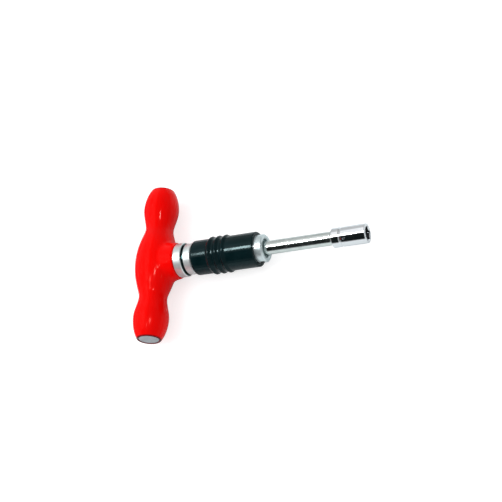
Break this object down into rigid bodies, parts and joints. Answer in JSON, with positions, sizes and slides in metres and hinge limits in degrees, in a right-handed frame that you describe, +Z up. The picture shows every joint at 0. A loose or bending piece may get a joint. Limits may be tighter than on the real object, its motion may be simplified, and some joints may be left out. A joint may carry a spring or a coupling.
{
  "type": "t-handle torque wrench",
  "caption": "T-handle socket wrench for pipe clamps: cross handle with a one-way ratchet, slipping torque clutch in a ribbed sleeve, plain shaft and pull-off hex socket.",
  "frame": {"origin": "on the floor, under the middle of the tool's box, with the tool lying on its side", "axes": "+X along the shaft from the handle to the socket, +Y along the cross handle, +Z up out of the plane of the T"},
  "size_m": [0.1622, 0.1074, 0.0282],
  "materials": {
    "red_enamel": "gloss",
    "grey_aluminium": "satin",
    "plated_steel": "bright zinc plating",
    "black_plastic": "gloss",
    "chrome": "polished",
    "hard_steel": "ground",
    "spring_steel": "oiled wire",
    "bronze": "sintered",
    "cage_brass": "pressed"
  },
  "bodies": {
    "handle_body": {"handle": "red_enamel", "end_disc_left": "grey_aluminium", "end_disc_right": "grey_aluminium", "handle_set_screw": "hard_steel", "ratchet_barrel": "plated_steel", "clutch_cup": "hard_steel", "roller_cage": "cage_brass", "thrust_washer": "bronze", "needle_roller_1": "hard_steel", "needle_roller_2": "hard_steel", "needle_roller_3": "hard_steel", "needle_roller_4": "hard_steel", "needle_roller_5": "hard_steel", "needle_roller_6": "hard_steel", "needle_roller_7": "hard_steel", "needle_roller_8": "hard_steel"},
    "clutch_body": {"clutch_housing": "plated_steel", "spindle_circlip": "spring_steel", "spindle_washer": "hard_steel", "grip_sleeve": "black_plastic", "end_nut": "plated_steel", "front_bush": "hard_steel", "clutch_spring": "spring_steel", "thrust_race_front": "hard_steel"},
    "sliding_cam": {"slip_cam": "hard_steel"},
    "bearing_balls": {"ball_cage": "cage_brass", "thrust_ball_1": "hard_steel", "thrust_ball_2": "hard_steel", "thrust_ball_3": "hard_steel", "thrust_ball_4": "hard_steel", "thrust_ball_5": "hard_steel", "thrust_ball_6": "hard_steel", "thrust_ball_7": "hard_steel", "thrust_ball_8": "hard_steel"},
    "output": {"output_shaft": "plated_steel", "driven_cam": "hard_steel", "cam_pin": "hard_steel", "thrust_race_rear": "hard_steel", "detent_spring": "spring_steel"},
    "socket_body": {"socket": "chrome"},
    "ball_body": {"detent_ball": "chrome"}
  },
  "joints": [
    {"name": "ratchet_turn", "type": "hinge", "parent": "handle_body", "child": "clutch_body", "pos_m": [-0.05695, 0, 0.0141], "axis": [1, 0, 0], "continuous": true},
    {"name": "clutch_slip", "type": "hinge", "parent": "clutch_body", "child": "output", "pos_m": [-0.01195, 0, 0.0141], "axis": [1, 0, 0], "range_deg": [-50, 0], "stiffness_Nm_per_rad": 1},
    {"name": "cam_lift", "type": "slide", "parent": "clutch_body", "child": "sliding_cam", "axis": [-1, 0, 0], "range_m": [0, 0.0017], "deforming": ["clutch_spring"]},
    {"name": "bearing_roll", "type": "hinge", "parent": "clutch_body", "child": "bearing_balls", "pos_m": [-0.00525, 0, 0.0141], "axis": [1, 0, 0], "range_deg": [-25, 0]},
    {"name": "socket_pull", "type": "slide", "parent": "output", "child": "socket_body", "axis": [1, 0, 0], "range_m": [0, 0.0125]},
    {"name": "ball_press", "type": "slide", "parent": "output", "child": "ball_body", "axis": [0, 0.6018, -0.7986], "range_m": [0, 0.0004], "stiffness_N_per_m": 1500, "deforming": ["detent_spring"]}
  ],
  "couplings": [
    {"joint": "cam_lift", "follows": "clutch_slip", "m_per_rad": -0.0019099},
    {"joint": "bearing_roll", "follows": "clutch_slip", "ratio": 0.5}
  ]
}
